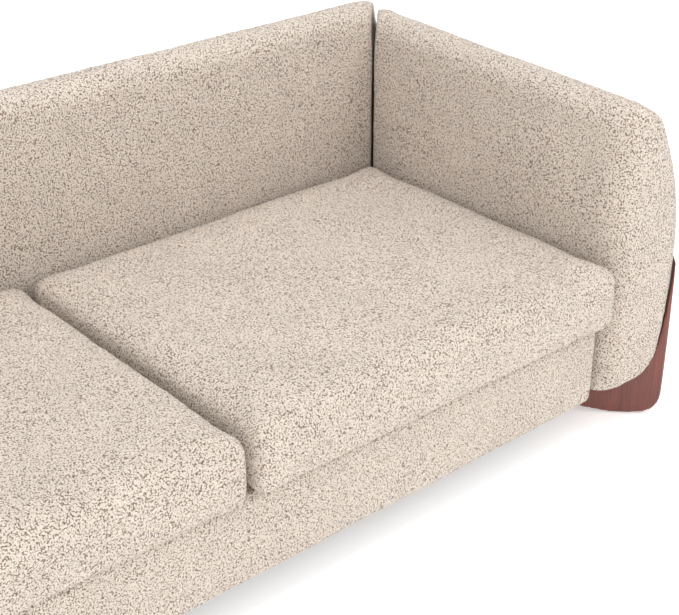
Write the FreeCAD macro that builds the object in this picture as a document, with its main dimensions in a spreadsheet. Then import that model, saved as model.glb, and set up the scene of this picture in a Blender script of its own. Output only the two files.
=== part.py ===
import FreeCAD, Part
import PartDesign
import Sketcher
import math
import os

from FreeCAD import Placement, Rotation, Vector

# Two-seat boucle sofa with four wooden corner legs, as an assembly of its real pieces.
#
# Millimetres.  +Z is up, the front faces -Y, and left and right are as seen from the front.
# The origin is on the floor, under the centre of the sofa.
#
# The arms and the back are three hollow shells of one bulging section, mitred at the rear corners.
# Each is a timber frame on a plywood base board, wrapped in foam and in a fabric cover.  They are
# bolted to a seat platform between them, which carries springs, a deck pad and two loose cushions.
# Four wooden fins stand diagonally under the corners and wrap up round them.

doc = FreeCAD.newDocument("sofa")
sheet = doc.addObject("Spreadsheet::Sheet", "sizes")

driving_sizes = {
    # whole sofa
    "overall_width": 2116,
    "overall_depth": 902,
    # shells: the section that the arms and the back share
    "shell_thickness": 200,
    "shell_bottom": 100,
    "back_height": 728,
    "arm_rear_height": 713,
    "arm_front_height": 686,
    "arm_setback": 15,
    "bulge_height": 350,
    "tip_radius": 42,
    "under_bulge_radius": 830,
    "lower_corner_radius": 95,
    "outer_corner_radius": 62,
    "inner_front_radius": 58,
    "front_top_radius": 30,
    "front_bottom_radius": 30,
    "mitre_gap": 1,
    "cover_thickness": 2,
    "foam_thickness": 28,
    "layer_gap": 0.3,
    # timber inside the shells
    "board_thickness": 18,
    "board_width": 84,
    "rib_thickness": 18,
    "rib_margin": 44,
    "rib_foot": 30,
    "arm_ribs": 3,
    "back_ribs": 5,
    "batten_thickness": 26,
    "batten_height": 50,
    "bolting_batten_bottom": 150,
    "bolting_batten_height": 76,
    # seat cushions
    "cushion_bottom": 264,
    "cushion_height": 136,
    "cushion_radius": 34,
    "cushion_gap": 2,
    "cushion_rear_gap": 3,
    "cushion_lift_gap": 0.4,
    "zip_length": 560,
    "zip_height": 24,
    "zip_thickness": 1.2,
    # padded front apron
    "apron_setback": 43,
    "apron_bottom": 90,
    "apron_depth": 52,
    "apron_end_gap": 12,
    "apron_radius": 15,
    "apron_board_thickness": 18,
    # seat platform
    "frame_gap": 1,
    "seat_board_thickness": 22,
    "seat_board_bottom": 122,
    "stretcher_drop": 34,
    "corner_block": 64,
    "deck_thickness": 12,
    "dust_cover_thickness": 1.2,
    "springs_per_seat": 5,
    "spring_wire": 3.8,
    "spring_loop_width": 42,
    "spring_loop_radius": 13,
    "clip_width": 14,
    "clip_length": 18,
    "clip_thickness": 1.2,
    # corner legs
    "leg_thickness": 46,
    "leg_edge_radius": 8,
    "leg_proud": 6.5,
    "leg_tip_height": 346,
    "leg_tip_thickness": 3,
    "leg_belly_height": 167,
    "leg_toe_height": 60,
    "leg_toe_length": 52,
    "leg_sole_length": 46,
    "leg_heel_length": 236,
    "leg_heel_rise": 24,
    "leg_heel_radius": 24,
    "leg_fit": 0.6,
    "glide_height": 3,
    "glide_radius": 15,
    "glide_inset": 82,
    # leg fixings
    "plate_inset": 194,
    "plate_length": 52,
    "plate_width": 78,
    "plate_thickness": 3,
    "plate_bolt_length_pitch": 36,
    "plate_bolt_width_pitch": 62,
    "plate_screw_pitch": 18,
    "screw_radius": 2.4,
    "screw_head_radius": 4.8,
    "screw_head_height": 2,
    "screw_length": 32,
    # machine bolts and their nuts
    "bolt_radius": 4,
    "bolt_head_radius": 6.6,
    "bolt_head_height": 5,
    "bolt_grip": 18,
    "nut_radius": 6,
    "nut_length": 12,
    "washer_radius": 12,
    "washer_thickness": 2,
    "frame_bolt_reach": 78,
    "apron_bolt_reach": 40,
    "frame_bolt_height": 188,
    "hole_gap": 0.3,
}
for row, (alias, number) in enumerate(driving_sizes.items(), start=1):
    sheet.set(f"A{row}", alias)
    sheet.set(f"B{row}", str(number))
    sheet.setAlias(f"B{row}", alias)
doc.recompute()


def size(alias):
    # A driving dimension, read back from the sheet.
    return float(sheet.get(alias))


# ---- places that follow from the driving dimensions ----
half_width = size("overall_width") / 2
rear = size("overall_depth") / 2
front = -rear + size("arm_setback")                 # front plane of the arms
inner_x = half_width - size("shell_thickness")      # inner face of an arm
back_face = rear - size("shell_thickness")          # front face of the back
apron_front = -rear + size("apron_setback")
skin = size("cover_thickness")
gap = size("layer_gap")
foam_outside = skin + gap
timber_inset = skin + size("foam_thickness") + gap
board_bottom = size("shell_bottom") + skin + gap
board_top = board_bottom + size("board_thickness")
deck_top = size("cushion_bottom") - size("cushion_lift_gap")
deck_bottom = deck_top - size("deck_thickness")
spring_height = deck_bottom - gap - size("spring_wire") / 2
frame_top = spring_height - size("spring_wire") / 2 - size("clip_thickness")
frame_front = apron_front + size("apron_depth") + gap
frame_side = inner_x - size("frame_gap")
frame_rear = back_face - size("frame_gap")
seat_board = size("seat_board_thickness")
far = 2 * size("overall_width")                     # longer than any piece
nodes = []


def keep(node):
    # Marks a document object as a piece of the sofa, which gets a file of its own.
    node.Label = node.Name
    nodes.append(node)
    return node


def add_shape(name, shape):
    # A piece whose shape is made with Part's own functions.
    node = doc.addObject("Part::Feature", name)
    node.Shape = shape
    return keep(node)


def add_box(name, low, high):
    # A Part::Box between two corners, each given as three expressions on the sheet.
    box = doc.addObject("Part::Box", name)
    for prop, axis, start, end in zip(("Length", "Width", "Height"), "xyz", low, high):
        box.setExpression(prop, f"({end}) - ({start})")
        box.setExpression(f"Placement.Base.{axis}", start)
    return box


def add_cut(name, base, tool_shapes):
    # A piece with its clearance holes cut out of it.
    tool = doc.addObject("Part::Feature", name + "_openings")
    tool.Shape = Part.makeCompound(tool_shapes)
    cut = doc.addObject("Part::Cut", name)
    cut.Base = base
    cut.Tool = tool
    return keep(cut)


def solid_box(low, high):
    return Part.makeBox(high[0] - low[0], high[1] - low[1], high[2] - low[2], Vector(*low))


def rod(radius, length, start, direction):
    return Part.makeCylinder(radius, length, start, direction)


def prism(plan, bottom, top):
    # An upright prism on a plan outline.
    corners = [Vector(x, y, bottom) for x, y in plan]
    return Part.Face(Part.makePolygon(corners + [corners[0]])).extrude(Vector(0, 0, top - bottom))


def mirrored(shape):
    return shape.mirror(Vector(0, 0, 0), Vector(1, 0, 0))


# ---- the bulging section and the shells made from it ----
def section_wire(height, inset, nose, place, spare=0):
    # Outline of a shell at one station.  Across the shell, 0 is its inner face.  nose runs from 0,
    # the full section, to 1, the front face, which is drawn in on all sides.  A tight tip, a long
    # arc to the bulge, a longer one below it and a round lower corner meet tangentially, so moving
    # the outline in by inset only changes their radii.  spare pushes the flat inner and bottom
    # sides out, for a form whose flats are then cut true.
    drawn_outer = max(size("outer_corner_radius") - inset, 0) * nose
    drawn_inner = max(size("inner_front_radius") - inset, 0) * nose
    drawn_top = max(size("front_top_radius") - inset, 0) * nose
    drawn_bottom = max(size("front_bottom_radius") - inset, 0) * nose
    wide = size("shell_thickness") - drawn_inner - drawn_outer
    low = size("shell_bottom") + drawn_bottom
    belly = size("bulge_height")
    tip = size("tip_radius") - drawn_top
    under = size("under_bulge_radius")
    corner = size("lower_corner_radius") - drawn_outer
    tip_height = height - drawn_top - tip
    rise = tip_height - belly
    upper = ((wide - tip)**2 + rise**2 - tip**2) / (2 * (wide - 2 * tip))
    corner_height = low + corner
    corner_across = wide - under + math.sqrt((under - corner)**2 - (corner_height - belly)**2)
    tip_turn = math.atan2(rise, tip - wide + upper)
    corner_turn = math.atan2(corner_height - belly, corner_across - wide + under)
    arcs = [
        ((tip, tip_height), tip, math.pi, tip_turn),
        ((wide - upper, belly), upper, tip_turn, 0.0),
        ((wide - under, belly), under, 0.0, corner_turn),
        ((corner_across, corner_height), corner, corner_turn, -math.pi / 2),
    ]

    def on_arc(centre, radius, turn):
        across = centre[0] + (radius - inset) * math.cos(turn)
        return place(drawn_inner + across, centre[1] + (radius - inset) * math.sin(turn))

    edges = []
    for centre, radius, start, end in arcs:
        ends = [on_arc(centre, radius, turn) for turn in (start, (start + end) / 2, end)]
        edges.append(Part.Arc(*ends).toShape())
    inner = drawn_inner + inset
    flats = [on_arc(arcs[-1][0], corner, -math.pi / 2),
             place(drawn_inner + corner_across, low + inset - spare),
             place(inner - spare, low + inset - spare),
             place(inner - spare, tip_height),
             on_arc(arcs[0][0], tip, math.pi)]
    for start, end in zip(flats, flats[1:]):
        if (end - start).Length > 1e-6:
            edges.append(Part.LineSegment(start, end).toShape())
    return Part.Wire(edges)


def arm_height(y):
    # The arm's top falls in a straight line from the rear to the front.
    share = (y - front) / (rear - front)
    return size("arm_front_height") + share * (size("arm_rear_height") - size("arm_front_height"))


def arm_plan(inset):
    # Plan of the right arm, cut off by the mitre at the rear.
    shift = (size("mitre_gap") / 2 + inset) * math.sqrt(2)
    return [(inner_x + inset, -far), (half_width - inset, -far),
            (half_width - inset, rear - inset - shift), (inner_x + inset, back_face + inset - shift)]


def back_plan(inset):
    # Plan of the back between its two mitres.
    shift = (size("mitre_gap") / 2 + inset) * math.sqrt(2)
    inner = inner_x - shift + inset
    outer = half_width - shift - inset
    return [(-inner, back_face + inset), (inner, back_face + inset),
            (outer, rear - inset), (-outer, rear - inset)]


def rear_corner(plan, height, inset):
    # The square corner block to take away from a shell at the right rear, and what goes there
    # instead: the section turned about an upright axis, so that the side runs round into the rear.
    radius = size("outer_corner_radius")
    axis_x = half_width - radius
    axis_y = rear - radius
    across_axis = size("shell_thickness") - radius
    section = Part.Face(section_wire(height, inset, 0, lambda across, z:
                                     Vector(axis_x + across - across_axis, axis_y, z)))
    outer_part = section.common(solid_box((axis_x, -far, 0), (far, far, far)))
    turned = outer_part.revolve(Vector(axis_x, axis_y, 0), Vector(0, 0, 1), 90)
    square = solid_box((axis_x, axis_y, 0), (far, far, far))
    return square, turned.common(prism(plan, 0, far))


def arm_form(inset):
    # The right arm's outer form, moved in by inset on every side: a long straight stretch behind
    # a nose whose stations follow a quarter turn.
    depth = size("outer_corner_radius") - inset
    nose_end = front + inset + depth

    def station(y, nose, spare):
        return section_wire(arm_height(y), inset, nose,
                            lambda across, z: Vector(inner_x + across, y, z), spare)

    turns = [math.radians(18 * step) for step in range(6)]
    nose_form = Part.makeLoft([station(nose_end - depth * math.sin(turn), 1 - math.cos(turn), 0)
                               for turn in turns], True, True)
    corner_y = rear - size("outer_corner_radius")
    long_form = Part.makeLoft([station(y, 0, 5) for y in (nose_end, corner_y, rear)], True, True)
    long_form = long_form.common(prism(arm_plan(inset), size("shell_bottom") + inset, far))
    square, corner = rear_corner(arm_plan(inset), arm_height(corner_y), inset)
    return long_form.cut(square).fuse([corner, nose_form]).Solids[0]


def back_form(inset):
    # The back's outer form, moved in by inset on every side.
    section = section_wire(size("back_height"), inset, 0,
                           lambda across, z: Vector(-half_width, back_face + across, z), 5)
    form = Part.Face(section).extrude(Vector(2 * half_width, 0, 0))
    form = form.common(prism(back_plan(inset), size("shell_bottom") + inset, far))
    square, corner = rear_corner(back_plan(inset), size("back_height"), inset)
    return form.cut([square, mirrored(square)]).fuse([corner, mirrored(corner)]).Solids[0]


arm_outer = arm_form(0)
back_outer = back_form(0)

# ---- machine bolts that join the shells and the apron to the platform ----
class Bolt:
    # One bolt with its washer and nut, along direction from the face under its washer.
    def __init__(self, face, direction, reach):
        self.face = face
        self.direction = direction
        self.reach = reach

    def shape(self):
        under_head = self.face - self.direction * size("washer_thickness")
        shank = rod(size("bolt_radius"), self.reach + size("washer_thickness"), under_head,
                    self.direction)
        head = rod(size("bolt_head_radius"), size("bolt_head_height"), under_head, -self.direction)
        return shank.fuse(head).removeSplitter()

    def washer(self):
        disc = rod(size("washer_radius"), size("washer_thickness"), self.face, -self.direction)
        return disc.cut(self.hole())

    def hole(self):
        start = self.face - self.direction * size("washer_thickness")
        return rod(size("bolt_radius") + size("hole_gap"), self.reach + size("washer_thickness") + 1,
                   start, self.direction)

    def nut(self):
        start = self.face + self.direction * (self.reach - size("nut_length"))
        return rod(size("nut_radius"), size("nut_length"), start, self.direction).cut(self.hole())

    def opening(self):
        # The hole with the seat of its nut.
        start = self.face + self.direction * (self.reach - size("nut_length"))
        seat = rod(size("nut_radius"), size("nut_length"), start, self.direction)
        return self.hole().fuse(seat)


bolt_z = size("frame_bolt_height")
side_face = frame_side - seat_board
side_ys = [frame_front + share * (frame_rear - frame_front) for share in (0.2, 0.5, 0.8)]
right_arm_bolts = [Bolt(Vector(side_face, y, bolt_z), Vector(1, 0, 0), size("frame_bolt_reach"))
                   for y in side_ys]
left_arm_bolts = [Bolt(Vector(-side_face, y, bolt_z), Vector(-1, 0, 0), size("frame_bolt_reach"))
                  for y in side_ys]
back_bolts = [Bolt(Vector(share * frame_side, frame_rear - seat_board, bolt_z), Vector(0, 1, 0),
                   size("frame_bolt_reach")) for share in (-0.75, -0.25, 0.25, 0.75)]
apron_bolts = [Bolt(Vector(share * frame_side, frame_front + seat_board, bolt_z), Vector(0, -1, 0),
                    size("apron_bolt_reach")) for share in (-0.8, -0.27, 0.27, 0.8)]
frame_bolts = right_arm_bolts + left_arm_bolts + back_bolts + apron_bolts
bolt_holes = [bolt.hole() for bolt in frame_bolts]
bolt_openings = [bolt.opening() for bolt in frame_bolts]

# ---- where the legs stand: on the diagonal of each corner ----
corner_reach = size("outer_corner_radius") * (1 - math.sqrt(0.5))
corner_x = half_width - corner_reach
front_corner_y = front + corner_reach
rear_corner_y = rear - corner_reach
leg_places = {
    "front_right": (Vector(corner_x, front_corner_y, 0), -45),
    "rear_right": (Vector(corner_x, rear_corner_y, 0), 45),
    "rear_left": (Vector(-corner_x, rear_corner_y, 0), 135),
    "front_left": (Vector(-corner_x, front_corner_y, 0), -135),
}
plate_bottom = size("shell_bottom") - size("plate_thickness")


def at_leg(name, shape):
    # A shape drawn for a leg whose outward direction is +X, set down at a corner.
    base, turn = leg_places[name]
    placed = shape.copy()
    placed.Placement = Placement(base, Rotation(Vector(0, 0, 1), turn))
    return placed


def plate_points(length_pitch, width_pitch):
    middle = -size("plate_inset")
    return [(middle + a * length_pitch / 2, b * width_pitch / 2) for a in (-1, 1) for b in (-1, 1)]


bolt_points = plate_points(size("plate_bolt_length_pitch"), size("plate_bolt_width_pitch"))
screw_points = [(-size("plate_inset") + step * size("plate_screw_pitch"), 0) for step in (-1, 0, 1)]
up = Vector(0, 0, 1)
leg_bolt_length = size("plate_thickness") + size("bolt_grip")
leg_bolt_holes = []
leg_bolt_openings = []
for place in leg_places:
    for x, y in bolt_points:
        start = Vector(x, y, plate_bottom)
        hole = rod(size("bolt_radius") + size("hole_gap"), leg_bolt_length + gap, start, up)
        seat = rod(size("nut_radius"), size("nut_length"),
                   start + up * (leg_bolt_length - size("nut_length")), up)
        leg_bolt_holes.append(at_leg(place, hole))
        leg_bolt_openings.append(at_leg(place, hole.fuse(seat)))


# ---- covers, foam and timber of the three shells ----
def shell_pieces(side, outer, inner_cover, foam, core, timber):
    # Cover and foam of one shell.  timber fills the space that the foam leaves open.
    cover = outer.cut(inner_cover).cut(bolt_holes + leg_bolt_holes)
    add_shape(f"{side}_cover", cover.Solids[0])
    padding = foam.cut([core, timber]).cut(bolt_openings + leg_bolt_openings)
    largest = max(padding.Solids, key=lambda solid: solid.Volume)
    add_shape(f"{side}_foam", largest)


def arm_timber(clearance):
    # The right arm's base board and the foot of its ribs, grown by clearance.
    low_x = inner_x + foam_outside + gap - clearance
    high_x = low_x + size("board_width") + 2 * clearance
    start = front + size("outer_corner_radius") + foam_outside - clearance
    shift = (size("mitre_gap") / 2 + foam_outside + gap - clearance) * math.sqrt(2)
    plan = [(low_x, start), (high_x, start), (high_x, high_x - inner_x + back_face - shift),
            (low_x, low_x - inner_x + back_face - shift)]
    return plan


def back_timber(clearance):
    low_y = back_face + foam_outside + gap - clearance
    high_y = low_y + size("board_width") + 2 * clearance
    shift = (size("mitre_gap") / 2 + foam_outside + gap - clearance) * math.sqrt(2)
    inner = inner_x + (low_y - back_face) - shift
    outer = inner_x + (high_y - back_face) - shift
    return [(-inner, low_y), (inner, low_y), (outer, high_y), (-outer, high_y)]


rib = size("rib_thickness")
margin = size("rib_margin")
foot_top = board_top + size("rib_foot")

def evenly(first, last, count):
    # Evenly spaced places from first to last.
    return [first + (last - first) * step / (count - 1) for step in range(int(count))]


arm_rib_ys = evenly(front + size("outer_corner_radius") + foam_outside,
                    back_face - timber_inset - rib, size("arm_ribs"))
back_rib_xs = evenly(-inner_x + timber_inset, inner_x - timber_inset - rib, size("back_ribs"))


def rib_plate(height, place, push):
    # One plywood rib: the section inside the foam, standing on the base board, with a window.
    plate = Part.Face(section_wire(height, timber_inset, 0, place)).extrude(push)
    across = size("shell_thickness") - timber_inset
    foot_end = foam_outside + gap + size("board_width") - gap
    foot = Part.Face(Part.makePolygon([place(timber_inset, board_top), place(foot_end, board_top),
                                       place(foot_end, foot_top), place(timber_inset, foot_top),
                                       place(timber_inset, board_top)])).extrude(push)
    window_low = foot_top + margin
    window_high = height - 4 * margin
    window = Part.Face(Part.makePolygon(
        [place(timber_inset + margin, window_low), place(across - margin, window_low),
         place(across - margin, window_high), place(timber_inset + margin, window_high),
         place(timber_inset + margin, window_low)])).extrude(push)
    below = solid_box((-far, -far, -far), (far, far, board_top))
    return plate.fuse(foot).cut(window).cut(below).removeSplitter()


def arm_rib(y):
    return rib_plate(arm_height(y), lambda across, z: Vector(inner_x + across, y, z), Vector(0, rib, 0))


def back_rib(x):
    return rib_plate(size("back_height"), lambda across, z: Vector(x, back_face + across, z),
                     Vector(rib, 0, 0))


def batten_section(height):
    # Corners across and up of the three battens in each bay: tip, bulge and bolting batten.
    thick = size("batten_thickness")
    tall = size("batten_height")
    near = timber_inset + gap
    tip_top = height - size("tip_radius") - 2 * gap
    outer = size("shell_thickness") - timber_inset - 2
    belly = size("bulge_height")
    bolting = size("bolting_batten_bottom")
    return [((near, tip_top - tall), (near + thick, tip_top)),
            ((outer - thick, belly - tall / 2), (outer, belly + tall / 2)),
            ((near, bolting), (near + thick, bolting + size("bolting_batten_height")))]


def arm_battens():
    bays = []
    for start, end in zip(arm_rib_ys, arm_rib_ys[1:]):
        for low, high in batten_section(arm_height(start)):
            bays.append(solid_box((inner_x + low[0], start + rib, low[1]),
                                  (inner_x + high[0], end, high[1])))
    return bays


def back_battens():
    bays = []
    for start, end in zip(back_rib_xs, back_rib_xs[1:]):
        for low, high in batten_section(size("back_height")):
            bays.append(solid_box((start + rib, back_face + low[0], low[1]),
                                  (end, back_face + high[0], high[1])))
    return bays


arm_skin = arm_form(skin)
arm_padding = arm_form(foam_outside)
arm_core = arm_form(timber_inset - gap)
arm_board_hole = prism(arm_timber(gap), 0, board_top + gap).fuse(
    prism([(inner_x + timber_inset - gap, front + size("outer_corner_radius")),
           (inner_x + foam_outside + gap + size("board_width"), front + size("outer_corner_radius")),
           (inner_x + foam_outside + gap + size("board_width"), back_face - timber_inset + gap),
           (inner_x + timber_inset - gap, back_face - timber_inset + gap)], board_top, foot_top + gap))
arm_board = prism(arm_timber(0), board_bottom, board_top).cut(leg_bolt_openings)
arm_ribs = [arm_rib(y) for y in arm_rib_ys]
arm_bays = [batten.cut(bolt_openings) for batten in arm_battens()]

for side, turned in (("right_arm", lambda shape: shape), ("left_arm", mirrored)):
    shell_pieces(side, turned(arm_outer), turned(arm_skin), turned(arm_padding), turned(arm_core),
                 turned(arm_board_hole))
    add_shape(f"{side}_base_board", turned(arm_board))
    add_shape(f"{side}_ribs", Part.makeCompound([turned(piece) for piece in arm_ribs]))
    add_shape(f"{side}_battens", Part.makeCompound([turned(piece) for piece in arm_bays]))

back_board_hole = prism(back_timber(gap), 0, board_top + gap).fuse(
    solid_box((-inner_x + timber_inset - gap, back_face + timber_inset - gap, board_top),
              (inner_x - timber_inset + gap,
               back_face + foam_outside + gap + size("board_width"), foot_top + gap)))
shell_pieces("back", back_outer, back_form(skin), back_form(foam_outside),
             back_form(timber_inset - gap), back_board_hole)
add_shape("back_base_board", prism(back_timber(0), board_bottom, board_top).cut(leg_bolt_openings))
add_shape("back_ribs", Part.makeCompound([back_rib(x) for x in back_rib_xs]))
add_shape("back_battens", Part.makeCompound([batten.cut(bolt_openings) for batten in back_battens()]))


# ---- seat cushions and the apron: rounded blocks drawn in a sketch ----
def rounded_block(name, low, high, radius):
    # A body between two corners given as expressions, with every edge rounded.
    body = doc.addObject("PartDesign::Body", name)
    plane = [f for f in body.Origin.OriginFeatures if f.Role == "XY_Plane"][0]
    sketch = body.newObject("Sketcher::SketchObject", name + "_plan")
    sketch.AttachmentSupport = [(plane, "")]
    sketch.MapMode = "FlatFace"
    sketch.setExpression("AttachmentOffset.Base.z", low[2])
    corners = [Vector(0, 0, 0), Vector(100, 0, 0), Vector(100, 100, 0), Vector(0, 100, 0)]
    for i in range(4):
        sketch.addGeometry(Part.LineSegment(corners[i], corners[(i + 1) % 4]), False)
    for i in range(4):
        sketch.addConstraint(Sketcher.Constraint("Coincident", i, 2, (i + 1) % 4, 1))
    for i in (0, 2):
        sketch.addConstraint(Sketcher.Constraint("Horizontal", i))
        sketch.addConstraint(Sketcher.Constraint("Vertical", i + 1))
    sketch.addConstraint(Sketcher.Constraint("Coincident", 0, 1, -1, 1))
    for label, kind, line, axis in (("long", "DistanceX", 0, 0), ("deep", "DistanceY", 1, 1)):
        index = sketch.addConstraint(Sketcher.Constraint(kind, line, 1, line, 2, 100))
        sketch.renameConstraint(index, label)
        sketch.setExpression(f"Constraints.{label}", f"({high[axis]}) - ({low[axis]})")
    sketch.setExpression("AttachmentOffset.Base.x", low[0])
    sketch.setExpression("AttachmentOffset.Base.y", low[1])
    pad = body.newObject("PartDesign::Pad", name + "_height")
    pad.Profile = sketch
    pad.setExpression("Length", f"({high[2]}) - ({low[2]})")
    doc.recompute()
    fillet = body.newObject("PartDesign::Fillet", name + "_edges")
    fillet.Base = (pad, [f"Edge{i + 1}" for i in range(len(pad.Shape.Edges))])
    fillet.setExpression("Radius", radius)
    body.Tip = fillet
    doc.recompute()
    return body


def moved_in(low, high, inset):
    return [f"{text} + {inset}" for text in low], [f"{text} - {inset}" for text in high]


def hollow_cover(name, low, high, radius, holes=None):
    # A fabric cover: a rounded block less the same block moved in by the fabric.
    outside = rounded_block(name + "_outside", low, high, radius)
    inside = rounded_block(name + "_inside", *moved_in(low, high, "sizes.cover_thickness"),
                           f"{radius} - sizes.cover_thickness")
    shell = doc.addObject("Part::Cut", name if holes is None else name + "_shell")
    shell.Base = outside
    shell.Tool = inside
    return keep(shell) if holes is None else add_cut(name, shell, holes)


deck_top_text = "sizes.cushion_bottom - sizes.cushion_lift_gap"
inner_text = "sizes.overall_width / 2 - sizes.shell_thickness"
back_text = "sizes.overall_depth / 2 - sizes.shell_thickness"
front_text = "-sizes.overall_depth / 2"

# ---- seat cushions: cover, foam core and rear zip ----
cushion_depth = (front_text, f"{back_text} - sizes.cushion_rear_gap")
cushion_rise = ("sizes.cushion_bottom", "sizes.cushion_bottom + sizes.cushion_height")
cushion_spans = {
    "right": ("sizes.cushion_gap / 2", f"{inner_text} - sizes.cushion_gap / 2"),
    "left": (f"-({inner_text} - sizes.cushion_gap / 2)", "-sizes.cushion_gap / 2"),
}
for side, span in cushion_spans.items():
    low, high = zip(span, cushion_depth, cushion_rise)
    hollow_cover(f"{side}_cushion_cover", low, high, "sizes.cushion_radius")
    inset = "(sizes.cover_thickness + sizes.layer_gap)"
    keep(rounded_block(f"{side}_cushion_foam", *moved_in(low, high, inset),
                       f"sizes.cushion_radius - {inset}"))
    middle_x = f"(({span[0]}) + ({span[1]})) / 2"
    middle_z = "sizes.cushion_bottom + sizes.cushion_height / 2"
    keep(add_box(f"{side}_cushion_zip",
                 (f"{middle_x} - sizes.zip_length / 2", cushion_depth[1],
                  f"{middle_z} - sizes.zip_height / 2"),
                 (f"{middle_x} + sizes.zip_length / 2", f"{cushion_depth[1]} + sizes.zip_thickness",
                  f"{middle_z} + sizes.zip_height / 2")))

# ---- front apron: board, foam and cover ----
apron_low = (f"-({inner_text} - sizes.apron_end_gap)", f"{front_text} + sizes.apron_setback",
             "sizes.apron_bottom")
apron_high = (f"{inner_text} - sizes.apron_end_gap",
              f"{front_text} + sizes.apron_setback + sizes.apron_depth", deck_top_text)
hollow_cover("apron_cover", apron_low, apron_high, "sizes.apron_radius", bolt_holes)
apron_inset = "(sizes.cover_thickness + sizes.layer_gap)"
apron_padding = rounded_block("apron_padding", *moved_in(apron_low, apron_high, apron_inset),
                              f"sizes.apron_radius - {apron_inset}")
wrap = "sizes.foam_thickness"
rear_of_board = f"{apron_high[1]} - {apron_inset}"
board_low = (f"{apron_low[0]} + {wrap}", f"{rear_of_board} - sizes.apron_board_thickness",
             f"{apron_low[2]} + {wrap}")
board_high = (f"{apron_high[0]} - {wrap}", rear_of_board, f"{apron_high[2]} - {wrap}")
apron_hollow = add_box("apron_hollow", *moved_in(board_low, board_high, "-sizes.layer_gap"))
apron_foam = doc.addObject("Part::Cut", "apron_foam")
apron_foam.Base = apron_padding
apron_foam.Tool = apron_hollow
keep(apron_foam)
add_cut("apron_board", add_box("apron_board_blank", board_low, board_high), bolt_openings)

# ---- seat platform: four boards, a stretcher and corner blocks ----
frame_top_text = (f"{deck_top_text} - sizes.deck_thickness - sizes.layer_gap - sizes.spring_wire"
                  " - sizes.clip_thickness")
frame_low = (f"-({inner_text} - sizes.frame_gap)",
             f"{apron_high[1]} + sizes.layer_gap", "sizes.seat_board_bottom")
frame_high = (f"{inner_text} - sizes.frame_gap", f"{back_text} - sizes.frame_gap", frame_top_text)
thick = "sizes.seat_board_thickness"
seat_boards = {
    "seat_front_board": (frame_low, (frame_high[0], f"{frame_low[1]} + {thick}", frame_high[2])),
    "seat_back_board": ((frame_low[0], f"{frame_high[1]} - {thick}", frame_low[2]), frame_high),
    "seat_left_board": ((frame_low[0], f"{frame_low[1]} + {thick}", frame_low[2]),
                        (f"{frame_low[0]} + {thick}", f"{frame_high[1]} - {thick}", frame_high[2])),
    "seat_right_board": ((f"{frame_high[0]} - {thick}", f"{frame_low[1]} + {thick}", frame_low[2]),
                         (frame_high[0], f"{frame_high[1]} - {thick}", frame_high[2])),
}
for name, (low, high) in seat_boards.items():
    add_cut(name, add_box(name + "_blank", low, high), bolt_holes)
keep(add_box("seat_stretcher",
             (f"-{thick} / 2", f"{frame_low[1]} + {thick}", frame_low[2]),
             (f"{thick} / 2", f"{frame_high[1]} - {thick}",
              f"{frame_high[2]} - sizes.stretcher_drop")))
block = size("corner_block")
inside_x = frame_side - seat_board
block_low = size("seat_board_bottom")
block_high = frame_top - size("stretcher_drop")
corner_blocks = []
for sign_x in (-1, 1):
    for y, sign_y in ((frame_front + seat_board, 1), (frame_rear - seat_board, -1)):
        x = sign_x * inside_x
        plan = [(x, y), (x - sign_x * block, y), (x, y + sign_y * block)]
        corner_blocks.append(prism(plan, block_low, block_high))
add_shape("seat_corner_blocks", Part.makeCompound(corner_blocks))


# ---- sinuous springs, their clips, the deck pad and the dust cover ----
def sinuous_spring(x, start, end):
    # One zigzag wire from the front board to the back board: cross runs joined by half rings.
    turns = 2 * int((end - start) / (4 * size("spring_loop_radius")))
    radius = (end - start) / (2 * turns)
    half = size("spring_loop_width") / 2 - radius
    edges = []
    for turn in range(turns + 1):
        y = start + 2 * radius * turn
        side = 1 if turn % 2 == 0 else -1
        near = Vector(x - side * half, y, spring_height)
        away = Vector(x + side * half, y, spring_height)
        edges.append(Part.LineSegment(near, away).toShape())
        if turn < turns:
            bend = Vector(x + side * (half + radius), y + radius, spring_height)
            next_run = Vector(x + side * half, y + 2 * radius, spring_height)
            edges.append(Part.Arc(away, bend, next_run).toShape())
    path = Part.Wire(edges)
    first = edges[0].Vertexes[0].Point
    ring = Part.Wire(Part.Circle(first, Vector(1, 0, 0), size("spring_wire") / 2).toShape())
    return path.makePipeShell([ring], True, False)


spring_start = frame_front + seat_board / 2
spring_end = frame_rear - seat_board / 2
per_seat = int(size("springs_per_seat"))
seat_width = frame_side - seat_board
spring_xs = [side * seat_width * (step + 0.5) / per_seat for side in (-1, 1) for step in range(per_seat)]
add_shape("seat_springs", Part.makeCompound([sinuous_spring(x, spring_start, spring_end)
                                             for x in spring_xs]))
clips = []
for x in spring_xs:
    for y, outward in ((spring_start, -1), (spring_end, 1)):
        wide = size("clip_width") / 2
        plate = solid_box((x - wide, y - size("clip_length") / 2, frame_top),
                          (x + wide, y + size("clip_length") / 2,
                           frame_top + size("clip_thickness")))
        wall = y + outward * (size("spring_wire") / 2 + size("clip_thickness") / 2)
        lip = solid_box((x - wide, wall - size("clip_thickness") / 2, frame_top),
                        (x + wide, wall + size("clip_thickness") / 2, spring_height))
        clips.append(plate.fuse(lip).removeSplitter())
add_shape("spring_clips", Part.makeCompound(clips))
keep(add_box("deck_pad", (frame_low[0], frame_low[1], f"{deck_top_text} - sizes.deck_thickness"),
             (frame_high[0], frame_high[1], deck_top_text)))
keep(add_box("dust_cover",
             (frame_low[0], frame_low[1], "sizes.seat_board_bottom - sizes.dust_cover_thickness"),
             (frame_high[0], frame_high[1], "sizes.seat_board_bottom")))


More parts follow.
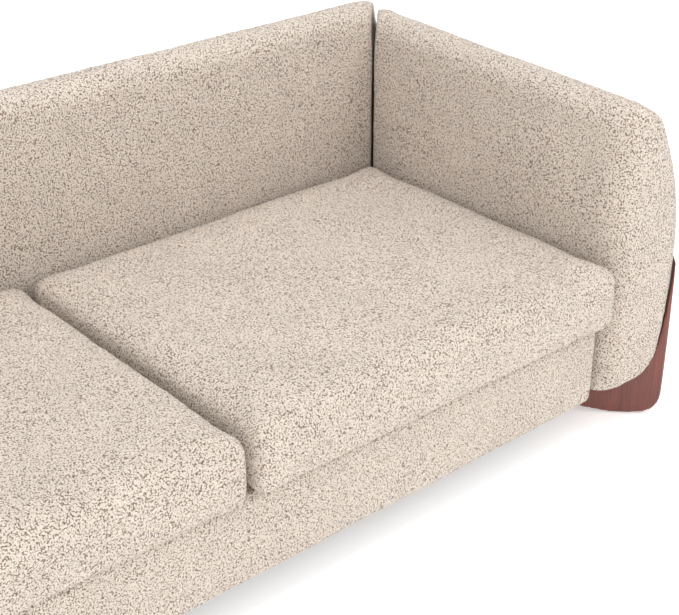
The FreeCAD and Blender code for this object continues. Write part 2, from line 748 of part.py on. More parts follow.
# ---- corner legs ----
def fabric_depth(drop):
    # How far in from the corner's diagonal point the fabric lies, where the shell's side has drawn
    # in by drop.  The corner's round moves sideways with it, so the leg's nearer face decides.
    radius = size("outer_corner_radius")
    moved = drop / math.sqrt(2)
    beside = min(max(moved - size("leg_thickness") / 2, 0), radius)
    return radius + moved - math.sqrt(radius**2 - beside**2)


def seat_curve():
    # The leg's inner contour, which follows the fabric from the flat bottom up to the tip.
    wide = size("shell_thickness")
    under = size("under_bulge_radius")
    corner = size("lower_corner_radius")
    belly = size("bulge_height")
    corner_height = size("shell_bottom") + corner
    corner_across = wide - under + math.sqrt((under - corner)**2 - (corner_height - belly)**2)
    corner_turn = math.atan2(corner_height - belly, corner_across - wide + under)
    steps = 6
    spots = []
    for step in range(steps + 1):
        turn = -math.pi / 2 + (corner_turn + math.pi / 2) * step / steps
        spots.append((corner_across + corner * math.cos(turn), corner_height + corner * math.sin(turn)))
    for step in range(1, 4):
        height = spots[steps][1] + (size("leg_tip_height") - spots[steps][1]) * step / 3
        spots.append((wide - under + math.sqrt(under**2 - (height - belly)**2), height))
    fit = size("leg_fit")
    points = [leg_point(fit - fabric_depth(wide - across), height) for across, height in spots]
    points[0].z -= fit
    curve = Part.BSplineCurve()
    curve.interpolate(points)
    return curve


def leg_point(x, z):
    return Vector(x, -size("leg_thickness") / 2, z)


def leg_solid():
    # A fin in the XZ plane, outward along +X: a blunt tip, one long arc down the outside, a toe, a
    # flat sole and a rising heel, with a step on top for its plate.
    proud = size("leg_proud")
    belly = size("leg_belly_height")
    seat = seat_curve()
    seat_top = seat.EndPoint
    tip = (seat_top.x + size("leg_tip_thickness"), size("leg_tip_height"))
    radius = ((tip[1] - belly)**2 + (proud - tip[0])**2) / (2 * (proud - tip[0]))
    toe_top = size("leg_toe_height")
    toe_x = proud - radius + math.sqrt(radius**2 - (toe_top - belly)**2)
    sole = size("glide_height")
    toe_end_x = -size("leg_toe_length")
    fullness = 0.7                                  # of the toe: 1 would be a square corner
    toe_curve = Part.BezierCurve()
    toe_curve.setPoles([leg_point(toe_x, toe_top),
                        leg_point(toe_x, toe_top - fullness * (toe_top - sole)),
                        leg_point(toe_end_x + fullness * (toe_x - toe_end_x), sole),
                        leg_point(toe_end_x, sole)])
    heel_start = leg_point(toe_end_x - size("leg_sole_length"), sole)
    heel_corner = leg_point(-size("leg_heel_length"), sole + size("leg_heel_rise"))
    slope = (heel_start - heel_corner).normalize()
    heel_radius = size("leg_heel_radius")
    back_off = heel_radius * math.tan((math.pi / 2 + math.asin(slope.z)) / 2)
    below = heel_corner + slope * back_off
    above = heel_corner + up * back_off
    middle = heel_corner + ((slope + up).normalize()
                            * (math.hypot(heel_radius, back_off) - heel_radius))
    step_x = -size("plate_inset") + size("plate_length") / 2 + size("leg_fit")
    edges = [Part.Arc(leg_point(*tip), leg_point(proud, belly), leg_point(toe_x, toe_top)).toShape(),
             toe_curve.toShape(),
             Part.LineSegment(leg_point(toe_end_x, sole), heel_start).toShape(),
             Part.LineSegment(heel_start, below).toShape(),
             Part.Arc(below, middle, above).toShape()]
    outline = [above, leg_point(heel_corner.x, plate_bottom), leg_point(step_x, plate_bottom),
               leg_point(step_x, seat.StartPoint.z), seat.StartPoint]
    for start, end in zip(outline, outline[1:]):
        edges.append(Part.LineSegment(start, end).toShape())
    edges.append(seat.toShape())
    edges.append(Part.LineSegment(seat_top, leg_point(*tip)).toShape())
    fin = Part.Face(Part.Wire(edges)).extrude(Vector(0, size("leg_thickness"), 0))
    half = size("leg_thickness") / 2
    envelope = solid_box((-far, -half, 0), (proud, half, far))
    envelope = envelope.makeFillet(size("leg_edge_radius"),
                                   [edge for edge in envelope.Edges if edge.BoundBox.XMin > 0
                                    and edge.BoundBox.ZLength > 1])
    fin = fin.common(envelope)
    for x, y in screw_points:
        fin = fin.cut(rod(size("screw_radius"), size("screw_length"),
                          Vector(x, y, plate_bottom + size("plate_thickness")), -up))
    return fin.Solids[0]


leg = leg_solid()
for place in leg_places:
    add_shape(f"{place}_leg", at_leg(place, leg))

plate = solid_box((-size("plate_inset") - size("plate_length") / 2, -size("plate_width") / 2,
                   plate_bottom),
                  (-size("plate_inset") + size("plate_length") / 2, size("plate_width") / 2,
                   size("shell_bottom")))
plate = plate.makeFillet(size("screw_head_radius"), [e for e in plate.Edges
                                                     if abs(e.tangentAt(0).z) > 0.5])
for x, y in screw_points:
    top = Vector(x, y, size("shell_bottom"))
    plate = plate.cut(rod(size("screw_head_radius"), size("screw_head_height"), top, -up))
    plate = plate.cut(rod(size("screw_radius"), size("plate_thickness"), top, -up))
for x, y in bolt_points:
    plate = plate.cut(rod(size("bolt_radius") + size("hole_gap"), size("plate_thickness"),
                          Vector(x, y, plate_bottom), up))
leg_bolts = []
leg_nuts = []
for x, y in bolt_points:
    start = Vector(x, y, plate_bottom)
    shank = rod(size("bolt_radius"), leg_bolt_length, start, up)
    head = rod(size("bolt_head_radius"), size("bolt_head_height"), start, -up)
    leg_bolts.append(shank.fuse(head).removeSplitter())
    nut = rod(size("nut_radius"), size("nut_length"),
              start + up * (leg_bolt_length - size("nut_length")), up)
    leg_nuts.append(nut.cut(rod(size("bolt_radius") + size("hole_gap"), far, start, up)))
leg_screws = []
for x, y in screw_points:
    top = Vector(x, y, size("shell_bottom"))
    head = rod(size("screw_head_radius"), size("screw_head_height"), top, -up)
    leg_screws.append(head.fuse(rod(size("screw_radius"), size("screw_length"), top, -up))
                      .removeSplitter())
glide = rod(size("glide_radius"), size("glide_height"), Vector(-size("glide_inset"), 0, 0), up)
for name, shapes in (("leg_plates", [plate]), ("leg_bolts", leg_bolts), ("leg_nuts", leg_nuts),
                     ("leg_screws", leg_screws), ("leg_glides", [glide])):
    add_shape(name, Part.makeCompound([at_leg(place, shape) for place in leg_places
                                       for shape in shapes]))

# ---- machine bolts, washers and nuts ----
add_shape("frame_bolts", Part.makeCompound([bolt.shape() for bolt in frame_bolts]))
add_shape("frame_washers", Part.makeCompound([bolt.washer() for bolt in frame_bolts]))
add_shape("frame_nuts", Part.makeCompound([bolt.nut() for bolt in frame_bolts]))

# ---- check every object, then write one file for each piece ----
doc.recompute()
for item in doc.Objects:
    if "Invalid" in item.State or "Error" in item.State:
        raise RuntimeError(f"{item.Name} did not build: {item.State}")
os.makedirs("parts", exist_ok=True)
for node in nodes:
    if node.Shape.isNull() or not node.Shape.isValid():
        raise RuntimeError(f"{node.Label} has no valid shape")
for node in nodes:
    node.Shape.exportStep(f"parts/{node.Label}.step")
print(len(nodes), "pieces written")
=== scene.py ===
import math

import bpy
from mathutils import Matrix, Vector


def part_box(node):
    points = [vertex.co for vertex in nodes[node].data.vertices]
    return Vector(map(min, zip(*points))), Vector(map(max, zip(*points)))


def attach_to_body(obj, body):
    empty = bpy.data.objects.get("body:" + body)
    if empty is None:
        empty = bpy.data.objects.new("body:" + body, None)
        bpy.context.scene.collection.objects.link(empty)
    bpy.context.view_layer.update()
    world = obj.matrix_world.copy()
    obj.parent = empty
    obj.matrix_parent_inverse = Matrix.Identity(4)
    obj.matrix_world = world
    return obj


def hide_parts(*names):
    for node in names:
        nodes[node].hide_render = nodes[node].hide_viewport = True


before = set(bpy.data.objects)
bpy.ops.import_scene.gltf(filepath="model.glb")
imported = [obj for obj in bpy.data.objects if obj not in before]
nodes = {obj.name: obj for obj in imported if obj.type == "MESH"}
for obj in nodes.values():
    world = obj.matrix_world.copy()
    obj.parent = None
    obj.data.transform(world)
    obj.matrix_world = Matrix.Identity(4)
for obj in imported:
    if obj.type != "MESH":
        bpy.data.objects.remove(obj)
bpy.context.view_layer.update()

print("frame loaded")
scene = bpy.context.scene


def colour(text):  # sRGB hex to linear RGBA
    parts = [int(text[i:i + 2], 16) / 255 for i in (1, 3, 5)]
    return [p / 12.92 if p <= 0.04045 else ((p + 0.055) / 1.055) ** 2.4 for p in parts] + [1]


def addNode(tree, kind, inputs, **settings):  # a value is a setting, another node's socket is a link
    node = tree.nodes.new("ShaderNode" + kind)
    for name, value in settings.items():
        setattr(node, name, value)
    for name, value in inputs.items():
        if isinstance(value, bpy.types.NodeSocket):
            tree.links.new(value, node.inputs[name])
        else:
            node.inputs[name].default_value = value
    return node


def newMaterial(name, **shader):
    material = bpy.data.materials.new(name)
    material.use_nodes = True
    tree = material.node_tree
    surface = tree.nodes["Principled BSDF"]
    for socket, value in shader.items():
        surface.inputs[socket.replace("_", " ")].default_value = value
    place = addNode(tree, "TexCoord", {}).outputs["Object"]
    return material, tree, surface, place


def perMetre(millimetres):  # texture scale for a pattern that repeats at this size
    return 1000 / millimetres


# Looped wool boucle: cream loops stand up; lower down each loop and in the pits between loops the colour
# is painted shade
boucle = {
    "loop": 2.7,           # mm from loop to loop
    "curl": 1.4,           # mm, yarn inside a loop
    "wander": 0.0030,      # m, how far rows of loops stray
    # mid is painted shade lower down a loop; the darkest colour is painted shade in the pits between
    # loops
    "cream": "#f6ebdf", "mid": "#e0cfbf", "pitShade": "#4f3423",
    "cloud": 90,           # mm, patches brushed one way or the other
}
boucleCloth, tree, surface, place = newMaterial("woolBoucle", Roughness=0.92, IOR=1.45,
                                                Sheen_Weight=0.25, Sheen_Roughness=0.5)
surface.inputs["Specular IOR Level"].default_value = 0.15
stray = addNode(tree, "TexNoise", {"Vector": place, "Scale": perMetre(14), "Detail": 2})
moved = addNode(tree, "VectorMath", {0: stray.outputs["Color"], 1: [boucle["wander"]] * 3, 2: place},
                operation="MULTIPLY_ADD")
loops = addNode(tree, "TexVoronoi", {"Vector": moved.outputs[0], "Scale": perMetre(boucle["loop"]),
                                     "Smoothness": 0.35}, feature="SMOOTH_F1")
curls = addNode(tree, "TexNoise", {"Vector": place, "Scale": perMetre(boucle["curl"]), "Detail": 3,
                                   "Roughness": 0.6})
loopTop = addNode(tree, "MapRange", {"Value": loops.outputs["Distance"], "From Min": 0.72,
                                     "From Max": 0.12, "To Min": 0, "To Max": 1})
height = addNode(tree, "Math", {0: curls.outputs["Fac"], 1: 0.9, 2: loopTop.outputs[0]},
                 operation="MULTIPLY_ADD")
# Painted shade by height: the yarn turns from cream to mid lower down each loop
loopShadeShare = addNode(tree, "MapRange", {"Value": height.outputs[0], "From Min": 0.5, "From Max": 1.3})
# Painted shade by height: the low pits between loops take the darkest colour
pitShadeShare = addNode(tree, "MapRange", {"Value": height.outputs[0], "From Min": 0.34, "From Max": 0.76})
yarn = addNode(tree, "MixRGB", {"Fac": loopShadeShare.outputs[0], "Color1": colour(boucle["mid"]),
                                "Color2": colour(boucle["cream"])})
speckled = addNode(tree, "MixRGB", {"Fac": pitShadeShare.outputs[0], "Color1": colour(boucle["pitShade"]),
                                    "Color2": yarn.outputs[0]})
patches = addNode(tree, "TexNoise", {"Vector": place, "Scale": perMetre(boucle["cloud"]), "Detail": 2})
shade = addNode(tree, "MapRange", {"Value": patches.outputs["Fac"], "From Min": 0.3, "From Max": 0.7,
                                   "To Min": 0.93, "To Max": 1.0})
cloth = addNode(tree, "VectorMath", {0: speckled.outputs[0], 3: shade.outputs[0]}, operation="SCALE")
relief = addNode(tree, "Bump", {"Height": height.outputs[0], "Strength": 1.0, "Distance": 0.0020})
tree.links.new(cloth.outputs[0], surface.inputs["Base Color"])
tree.links.new(relief.outputs[0], surface.inputs["Normal"])

# Solid ash, stained reddish brown and lacquered satin: long fine grain, open pores, a soft highlight
leg = {
    "grain": 3.2,          # mm between dark grain lines, across the run
    "run": 90,             # mm, how long a line runs
    "dark": "#57241b", "mid": "#6e3228", "light": "#7c3d2e",
}
stainedWood, tree, surface, place = newMaterial("stainedAsh", IOR=1.5, Coat_Weight=0.35,
                                                Coat_Roughness=0.3)
drawn = addNode(tree, "Mapping", {"Vector": place, "Scale": [perMetre(leg["grain"])] * 2
                                  + [perMetre(leg["run"])], "Rotation": [0.12, 0.1, 0]})
grain = addNode(tree, "TexNoise", {"Vector": drawn.outputs[0], "Scale": 1, "Detail": 5,
                                   "Roughness": 0.62, "Distortion": 0.4})
wide = addNode(tree, "Mapping", {"Vector": place, "Scale": [perMetre(26)] * 2 + [perMetre(240)]})
bands = addNode(tree, "TexNoise", {"Vector": wide.outputs[0], "Scale": 1, "Detail": 2})
lines = addNode(tree, "MapRange", {"Value": grain.outputs["Fac"], "From Min": 0.32, "From Max": 0.62})
figure = addNode(tree, "MapRange", {"Value": bands.outputs["Fac"], "From Min": 0.3, "From Max": 0.7})
stain = addNode(tree, "MixRGB", {"Fac": figure.outputs[0], "Color1": colour(leg["mid"]),
                                 "Color2": colour(leg["light"])})
wood = addNode(tree, "MixRGB", {"Fac": lines.outputs[0], "Color1": colour(leg["dark"]),
                                "Color2": stain.outputs[0]})
gloss = addNode(tree, "MapRange", {"Value": grain.outputs["Fac"], "To Min": 0.52, "To Max": 0.36})
pores = addNode(tree, "Bump", {"Height": grain.outputs["Fac"], "Strength": 0.18, "Distance": 0.0006})
tree.links.new(wood.outputs[0], surface.inputs["Base Color"])
tree.links.new(gloss.outputs[0], surface.inputs["Roughness"])
tree.links.new(pores.outputs[0], surface.inputs["Normal"])


def plainMaterial(name, light, dark, size, stretch, roughness, bump, **shader):
    material, tree, surface, place = newMaterial(name, **shader)
    spread = addNode(tree, "Mapping", {"Vector": place, "Scale": [perMetre(s * size) for s in stretch]})
    pattern = addNode(tree, "TexNoise", {"Vector": spread.outputs[0], "Scale": 1, "Detail": 4})
    share = addNode(tree, "MapRange", {"Value": pattern.outputs["Fac"], "From Min": 0.35,
                                       "From Max": 0.65})
    tone = addNode(tree, "MixRGB", {"Fac": share.outputs[0], "Color1": colour(dark),
                                    "Color2": colour(light)})
    wear = addNode(tree, "MapRange", {"Value": pattern.outputs["Fac"], "To Min": roughness + 0.06,
                                      "To Max": roughness - 0.06})
    raised = addNode(tree, "Bump", {"Height": pattern.outputs["Fac"], "Strength": 0.4,
                                    "Distance": bump})
    tree.links.new(tone.outputs[0], surface.inputs["Base Color"])
    tree.links.new(wear.outputs[0], surface.inputs["Roughness"])
    tree.links.new(raised.outputs[0], surface.inputs["Normal"])
    return material


# name, light, dark, pattern in mm, its stretch in x y z, roughness, bump in m; what the eye gets
even = (1, 1, 1)
finishes = {
    "pine": plainMaterial("sawnPine", "#dcb987", "#c39a63", 5, (20, 1, 1), 0.7, 0.0004,
                          IOR=1.5),  # long pale grain
    "plywood": plainMaterial("birchPlywood", "#d9bd92", "#c3a173", 4, (12, 12, 0.5), 0.65, 0.0003,
                             IOR=1.5),  # thin plies
    "felt": plainMaterial("needledFelt", "#8a8781", "#6b6862", 2.2, even, 0.95, 0.0008,
                          IOR=1.45),  # mottled fibres
    "lining": plainMaterial("spunbondLining", "#2b2a2a", "#191919", 3, even, 0.85, 0.0004,
                            IOR=1.45),  # dull dimples
    "zip": plainMaterial("zipTape", "#cbbcab", "#a89683", 1.6, even, 0.8, 0.0004,
                         IOR=1.45),  # close herringbone
    "nylon": plainMaterial("mouldedNylon", "#2a2725", "#201d1b", 1.5, even, 0.5, 0.0001,
                           IOR=1.53),  # faint grain
    "zinc": plainMaterial("zincPlatedSteel", "#c9cac6", "#a7a9a4", 6, even, 0.38, 0.0001,
                          Metallic=1.0),  # spangle
    "spring": plainMaterial("oiledSpringSteel", "#4a4b4e", "#313235", 5, even, 0.4, 0.0001,
                            Metallic=1.0),  # dark sheen
}
nodeFinish = {
    "pine": ["seat_front_board", "seat_back_board", "seat_left_board", "seat_right_board",
             "seat_stretcher", "seat_corner_blocks", "left_arm_battens", "right_arm_battens",
             "back_battens"],
    "plywood": ["left_arm_base_board", "right_arm_base_board", "back_base_board", "left_arm_ribs",
                "right_arm_ribs", "back_ribs", "apron_board"],
    "zip": ["left_cushion_zip", "right_cushion_zip"],
    "nylon": ["leg_glides"],
    "zinc": ["leg_plates", "leg_bolts", "leg_nuts", "leg_screws", "frame_bolts", "frame_washers",
             "frame_nuts"],
    "spring": ["seat_springs", "spring_clips"],
}
for finish, names in nodeFinish.items():
    for name in names:
        for materialSlot in nodes[name].material_slots:
            materialSlot.link = "OBJECT"
            materialSlot.material = finishes[finish]
print("materials made")


def newPiece(name, points, faces, material):
    mesh = bpy.data.meshes.new(name)
    mesh.from_pydata([tuple(p) for p in points], [], faces)
    piece = bpy.data.objects.new(name, mesh)
    scene.collection.objects.link(piece)
    mesh.materials.append(material)
    return piece


def settle(piece):  # modifiers into the mesh
    bpy.context.view_layer.update()
    mesh = bpy.data.meshes.new_from_object(piece.evaluated_get(bpy.context.evaluated_depsgraph_get()))
    piece.modifiers.clear()
    piece.data = mesh
    for face in mesh.polygons:
        face.use_smooth = True
    return piece


def modify(piece, kind, **settings):
    modifier = piece.modifiers.new(kind.lower(), kind)
    for name, value in settings.items():
        setattr(modifier, name, value)
    return modifier


def remesh(piece, voxel, passes):
    modify(piece, "REMESH", mode="VOXEL", voxel_size=voxel)
    modify(piece, "SMOOTH", factor=0.5, iterations=passes)
    return settle(piece)


def roughen(piece, steps):  # steps: (pattern in m, depth in m)
    for size, depth in steps:
        pattern = bpy.data.textures.new("relief", "CLOUDS")
        pattern.noise_scale = size
        modify(piece, "DISPLACE", texture=pattern, strength=depth, mid_level=0.5,
               texture_coords="LOCAL")
    return settle(piece)


def attach(piece, body, slot, *replaced):
    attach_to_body(piece, body)
    if replaced:
        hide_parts(*replaced)
    return piece


# Arms and back: one section, run forward for an arm and across for the back
shell = {
    "thickness": 0.200, "bottom": 0.100, "bulge": 0.350,  # the widest point's height
    "tip": 0.042, "under": 0.830, "lowerCorner": 0.095,
    "corner": 0.062, "innerFront": 0.058, "frontTop": 0.030, "frontBottom": 0.030,
    "backHeight": 0.728, "armRear": 0.713, "armFront": 0.686,
    "innerX": 0.858, "frontY": -0.436, "backY": 0.251,
    "seam": 0.0012,        # half the gap at a mitre
    "voxel": 0.0055, "passes": 7,
    "endRound": 0.050, "endDrop": 0.017, "sideShare": 0.1,  # soft ends at the mitres
    "spine": (0.19, 0.62),  # heights that the soft ends draw in towards
    "relief": [(0.20, 0.0045), (0.008, 0.0026)],
}
halfWidth = shell["innerX"] + shell["thickness"]
rearY = shell["backY"] + shell["thickness"]


def arc(centre, radius, start, end, count):
    return [(centre[0] + radius * math.cos(start + (end - start) * i / count),
             centre[1] + radius * math.sin(start + (end - start) * i / count)) for i in range(count + 1)]


def sectionPoints(height, nose):  # (across, height) round a section, drawn in towards the nose
    s = shell
    outer, inner = s["corner"] * nose, s["innerFront"] * nose
    wide = s["thickness"] - outer - inner
    low = s["bottom"] + s["frontBottom"] * nose
    tip = s["tip"] - s["frontTop"] * nose
    tipHeight = height - s["frontTop"] * nose - tip
    rise = tipHeight - s["bulge"]
    upper = ((wide - tip) ** 2 + rise ** 2 - tip ** 2) / (2 * (wide - 2 * tip))
    corner = s["lowerCorner"] - outer
    cornerHeight = low + corner
    cornerAcross = wide - s["under"] + math.sqrt((s["under"] - corner) ** 2
                                                 - (cornerHeight - s["bulge"]) ** 2)
    down = math.atan2(cornerHeight - s["bulge"], cornerAcross - wide + s["under"])
    points = arc((tip, tipHeight), tip, math.pi, math.atan2(rise, tip - wide + upper), 12)
    points += arc((wide - upper, s["bulge"]), upper, math.atan2(rise, tip - wide + upper), 0, 20)[1:]
    points += arc((wide - s["under"], s["bulge"]), s["under"], 0, down, 12)[1:]
    points += arc((cornerAcross, cornerHeight), corner, down, -math.pi / 2, 12)[1:]
    points += [(cornerAcross * (1 - i / 6), low) for i in range(1, 7)]
    points += [(0, low + (tipHeight - low) * i / 20) for i in range(1, 20)]
    return [(across + inner, z) for across, z in points]


def joined(name, rings, material):
    count = len(rings[0])
    points = [p for ring in rings for p in ring]
    faces = [(r * count + i, r * count + (i + 1) % count, (r + 1) * count + (i + 1) % count,
              (r + 1) * count + i) for r in range(len(rings) - 1) for i in range(count)]
    faces += [tuple(range(count))[::-1], tuple(range(len(points) - count, len(points)))]
    return newPiece(name, points, faces, material)


def turnedEnd(section, along):  # stations from the straight run to the mitre, round the rear corner
    reach = shell["thickness"] - shell["corner"]
    rings = []
    for step in range(1, 5):
        rings.append([(a, min(a, reach) * step / 4, z) for a, z in section])
    for step in range(1, 9):
        turn = math.radians(45 * step / 8)
        rings.append([(a, a, z) if a <= reach else
                      (reach + (a - reach) * math.cos(turn), reach + (a - reach) * math.sin(turn), z)
                      for a, z in section])
    return [[along(*p) for p in ring] for ring in rings]


def roundEnd(piece, side, spineAt):  # draws a shell in where it nears the mitre
    s = shell
    for vertex in piece.data.vertices:
        x, y, z = vertex.co
        away = abs((y - s["backY"]) - (side * x - s["innerX"])) / math.sqrt(2) - s["seam"]
        if side * x > s["innerX"] - 0.05 and y > s["backY"] - 0.05 and away < s["endRound"]:
            share = 1 - max(0.0, away) / s["endRound"]
            target = Vector((*spineAt(x, y), max(s["spine"][0], min(s["spine"][1], z))))
            inward = target - vertex.co
            if inward.length > 1e-4:
                inward.normalize()
                draw = s["endDrop"] * share ** 2
                vertex.co += inward * draw * (s["sideShare"] + (1 - s["sideShare"]) * inward.z ** 2)


def armHeight(y):
    share = (y - shell["frontY"]) / (rearY - shell["frontY"])
    return shell["armFront"] + share * (shell["armRear"] - shell["armFront"])


def makeArm(name, side):
    s = shell
    noseEnd = s["frontY"] + s["corner"]
    rings = []
    for step in range(9):
        turn = math.radians(90 - 90 * step / 8)
        y = noseEnd - s["corner"] * math.sin(turn)
        rings.append([(side * (s["innerX"] + a), y, z)
                      for a, z in sectionPoints(armHeight(y), 1 - math.cos(turn))])
    rear = s["backY"] - s["seam"] * math.sqrt(2)
    for step in range(1, 13):
        y = noseEnd + (rear - noseEnd) * step / 12
        rings.append([(side * (s["innerX"] + a), y, z) for a, z in sectionPoints(armHeight(y), 0)])
    rings += turnedEnd(sectionPoints(armHeight(rearY - s["corner"]), 0),
                       lambda a, b, z: (side * (s["innerX"] + a), rear + b, z))
    piece = remesh(joined(name, rings, boucleCloth), s["voxel"], s["passes"])
    roundEnd(piece, side, lambda x, y: (side * (s["innerX"] + s["thickness"] / 2), y))
    return roughen(piece, s["relief"])


def makeBack(name):
    s = shell
    inner = s["innerX"] - s["seam"] * math.sqrt(2)
    section = sectionPoints(s["backHeight"], 0)
    left = turnedEnd(section, lambda a, b, z: (-inner - b, s["backY"] + a, z))[::-1]
    middle = [[(inner * (i / 15 - 1), s["backY"] + a, z) for a, z in section] for i in range(31)]
    right = turnedEnd(section, lambda a, b, z: (inner + b, s["backY"] + a, z))
    piece = remesh(joined(name, left + middle + right, boucleCloth), s["voxel"], s["passes"])
    for side in (1, -1):
        roundEnd(piece, side, lambda x, y: (x, s["backY"] + s["thickness"] / 2))
    return roughen(piece, s["relief"])


for side, word in ((1, "right"), (-1, "left")):
    arm = makeArm(word + "ArmFabric", side)
    attach(arm, "root", "boucle_fabric", word + "_arm_cover", word + "_arm_foam")
back = makeBack("backFabric")
attach(back, "root", "boucle_fabric", "back_cover", "back_foam")
print("arms and back made")


# A block with soft edges, the start of the front rail and the cushions
def softBlock(name, low, high, radius, material, cells=26):
    size = [h - l for l, h in zip(low, high)]
    middle = [(h + l) / 2 for l, h in zip(low, high)]
    counts = [max(2, round(s / max(size) * cells)) for s in size]
    points, index, faces = [], {}, []

    def point(i, j, k):
        if (i, j, k) not in index:
            index[i, j, k] = len(points)
            spot = [-s / 2 + s * n / c for s, n, c in zip(size, (i, j, k), counts)]
            core = [max(-s / 2 + radius, min(s / 2 - radius, v)) for s, v in zip(size, spot)]
            out = Vector(spot) - Vector(core)
            if out.length > radius:
                out = out.normalized() * radius
            points.append(Vector(middle) + Vector(core) + out)
        return index[i, j, k]

    for axis in range(3):
        u, v = [a for a in range(3) if a != axis]
        for end in (0, counts[axis]):
            for a in range(counts[u]):
                for b in range(counts[v]):
                    quad = []
                    for da, db in ((0, 0), (1, 0), (1, 1), (0, 1)):
                        spot = [0, 0, 0]
                        spot[axis], spot[u], spot[v] = end, a + da, b + db
                        quad.append(point(*spot))
                    faces.append(quad if (end > 0) == (axis != 1) else quad[::-1])
    return newPiece(name, points, faces, material)


rail = {"radius": 0.017, "voxel": 0.0045, "passes": 6, "relief": [(0.15, 0.003), (0.008, 0.0022)]}
low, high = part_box("apron_cover")
frontRail = softBlock("frontRailFabric", low, high, rail["radius"], boucleCloth, 160)
remesh(frontRail, rail["voxel"], rail["passes"])
roughen(frontRail, rail["relief"])
attach(frontRail, "root", "boucle_fabric", "apron_cover", "apron_foam")
print("front rail made")


# Seat cushions: blown up from a slightly smaller block, then kept inside their own space
cushion = {
    "side": 0.002, "under": 0.002, "top": 0.008,  # m taken off before the pressure
    "radius": 0.026, "crown": 0.006, "flat": 0.6,  # flat: under 1 is a flatter dome
    "voxel": 0.006, "pressure": 4.0, "frames": 20,
    "reach": 0.009,        # the most that a point may move
    "overTop": 0.008,      # the crown may stand this far above its frame box
    "relief": [(0.13, 0.004), (0.0085, 0.0030)],
}


def crowned(value, low, high):  # 1 in the middle, 0 at both ends
    share = (2 * value - low - high) / (high - low)
    return max(0.0, 1 - share * share)


def makeCushion(name, low, high):
    c = cushion
    start = (low[0] + c["side"], low[1] + c["side"], low[2] + c["under"])
    end = (high[0] - c["side"], high[1] - c["side"], high[2] - c["top"])
    piece = softBlock(name, start, end, c["radius"], boucleCloth, 60)
    for vertex in piece.data.vertices:
        x, y, z = vertex.co
        share = (z - start[2]) / (end[2] - start[2])
        dome = crowned(x, start[0], end[0]) ** c["flat"] * crowned(y, start[1], end[1]) ** c["flat"]
        vertex.co.z += c["crown"] * dome * share
    remesh(piece, c["voxel"], 3)
    rest = [vertex.co.copy() for vertex in piece.data.vertices]
    cloth = piece.modifiers.new("cloth", "CLOTH")
    cloth.settings.use_pressure = True
    cloth.settings.uniform_pressure_force = c["pressure"]
    cloth.settings.effector_weights.gravity = 0
    cloth.settings.quality = 4
    cloth.point_cache.frame_start = 1
    cloth.point_cache.frame_end = c["frames"]
    for number in range(1, c["frames"] + 1):
        scene.frame_set(number)
    settle(piece)
    scene.frame_set(1)
    for vertex, old in zip(piece.data.vertices, rest):
        step = vertex.co - old
        if step.length > 1e-7:
            vertex.co = old + step.normalized() * c["reach"] * math.tanh(step.length / c["reach"])
    modify(piece, "SMOOTH", factor=0.5, iterations=4)
    modify(piece, "SUBSURF", levels=1, render_levels=1)
    settle(piece)
    roughen(piece, c["relief"])
    for vertex in piece.data.vertices:
        for axis in range(3):
            top = high[axis] + (c["overTop"] if axis == 2 else 0)
            vertex.co[axis] = max(low[axis], min(top, vertex.co[axis]))
    return piece


for word in ("right", "left"):
    low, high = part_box(word + "_cushion_cover")
    seat = makeCushion(word + "CushionFabric", low, high)
    attach(seat, word + "_cushion", "boucle_fabric", word + "_cushion_cover", word + "_cushion_foam")
print("cushions made")


# Legs: the fin with its edges eased by hand sanding
easing = {"voxel": 0.003, "passes": 10}
for place in ("front_left", "front_right", "rear_left", "rear_right"):
    source = nodes[place + "_leg"]
    fin = bpy.data.objects.new(place + "LegWood", source.data.copy())
    scene.collection.objects.link(fin)
    remesh(fin, easing["voxel"], easing["passes"])
    fin.data.materials.clear()
    fin.data.materials.append(stainedWood)
    attach(fin, "root", "stained_wood", place + "_leg")
print("legs made")


# Under the cushions and under the frame: a felt pad over the springs, a lining tacked beneath
deck = {"voxel": 0.006, "radius": 0.003, "relief": [(0.11, 0.0016)]}
low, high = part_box("deck_pad")
pad = softBlock("deckFelt", low, high, deck["radius"], finishes["felt"], 150)
roughen(pad, deck["relief"])
attach(pad, "root", "deck_felt", "deck_pad")

lining = {"cells": (60, 24), "sag": 0.0012}
low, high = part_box("dust_cover")
across, along = lining["cells"]
spots = []
for level in (low[2], high[2]):
    for j in range(along + 1):
        for i in range(across + 1):
            x = low[0] + (high[0] - low[0]) * i / across
            y = low[1] + (high[1] - low[1]) * j / along
            drop = lining["sag"] * crowned(x, low[0], high[0]) * crowned(y, low[1], high[1])
            spots.append((x, y, level - drop))
row = across + 1
layer = row * (along + 1)
faces = []
for j in range(along):
    for i in range(across):
        a = j * row + i
        faces.append((a, a + row, a + row + 1, a + 1))
        faces.append((a + layer, a + 1 + layer, a + row + 1 + layer, a + row + layer))
edge = list(range(row)) + [j * row + across for j in range(1, along + 1)]
edge += [along * row + i for i in range(across - 1, -1, -1)] + [j * row for j in range(along - 1, 0, -1)]
faces += [(a, b, b + layer, a + layer) for a, b in zip(edge, edge[1:] + edge[:1])]
sheet = newPiece("underLining", spots, faces, finishes["lining"])
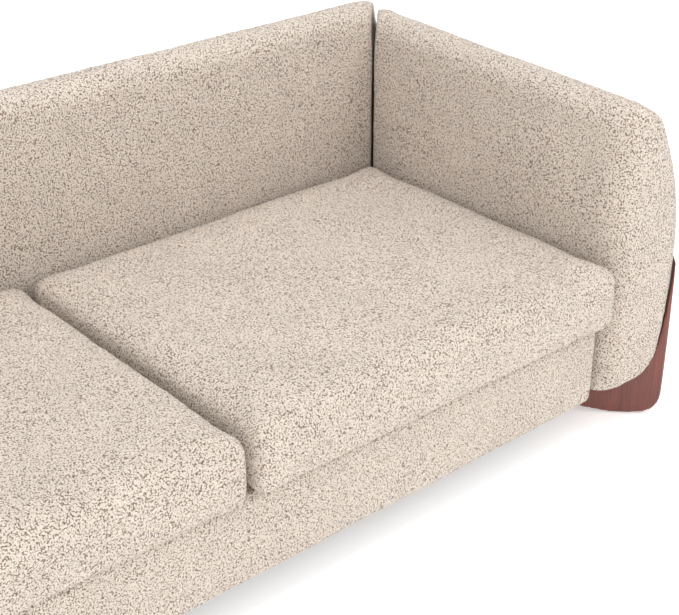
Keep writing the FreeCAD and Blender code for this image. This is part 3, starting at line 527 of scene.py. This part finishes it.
attach(sheet, "root", "lining_fabric", "dust_cover")
print("deck and lining made")


# Plain floor, soft studio light
studio = {"floor": "#ffffff", "world": 0.80, "glow": 0.38, "floorSize": 80}
half = studio["floorSize"] / 2
floorMaterial, tree, surface, place = newMaterial("paintedFloor", Roughness=0.9)
surface.inputs["Base Color"].default_value = colour(studio["floor"])
surface.inputs["Emission Color"].default_value = colour(studio["floor"])
surface.inputs["Emission Strength"].default_value = studio["glow"]  # keeps it white near the feet
floor = newPiece("floor", [(-half, -half, 0), (half, -half, 0), (half, half, 0), (-half, half, 0)],
                 [(0, 1, 2, 3)], floorMaterial)
world = bpy.data.worlds.new("studio")
scene.world = world
world.use_nodes = True
world.node_tree.nodes["Background"].inputs["Color"].default_value = colour("#ffffff")
world.node_tree.nodes["Background"].inputs["Strength"].default_value = studio["world"]
lamps = [  # name, where, size, watts
    ("key", (2.6, -3.4, 3.2), 2.6, 50),
    ("fill", (-3.0, -2.6, 2.4), 3.0, 42),
    ("top", (0.2, -0.2, 3.6), 3.2, 58),
]
for name, spot, size, watts in lamps:
    light = bpy.data.lights.new(name, "AREA")
    light.size = size
    light.energy = watts
    lamp = bpy.data.objects.new(name, light)
    lamp.location = spot
    lamp.rotation_euler = (Vector(spot) - Vector((0.2, 0, 0.3))).to_track_quat("Z", "Y").to_euler()
    scene.collection.objects.link(lamp)
scene.view_settings.view_transform = "Standard"

shot = {"place": (-1.0758, -1.8750, 1.5690), "turn": -40.9, "rise": 28.2, "lens": 75.92}
turn, rise = math.radians(shot["turn"]), math.radians(shot["rise"])
behind = Vector((math.sin(turn) * math.cos(rise), -math.cos(turn) * math.cos(rise), math.sin(rise)))
lens = bpy.data.cameras.new("camera")
lens.sensor_fit = "HORIZONTAL"
lens.sensor_width = 36
lens.lens = shot["lens"]
camera = bpy.data.objects.new("camera", lens)
camera.location = shot["place"]
camera.rotation_euler = behind.to_track_quat("Z", "Y").to_euler()
scene.collection.objects.link(camera)
scene.camera = camera
print("studio ready")
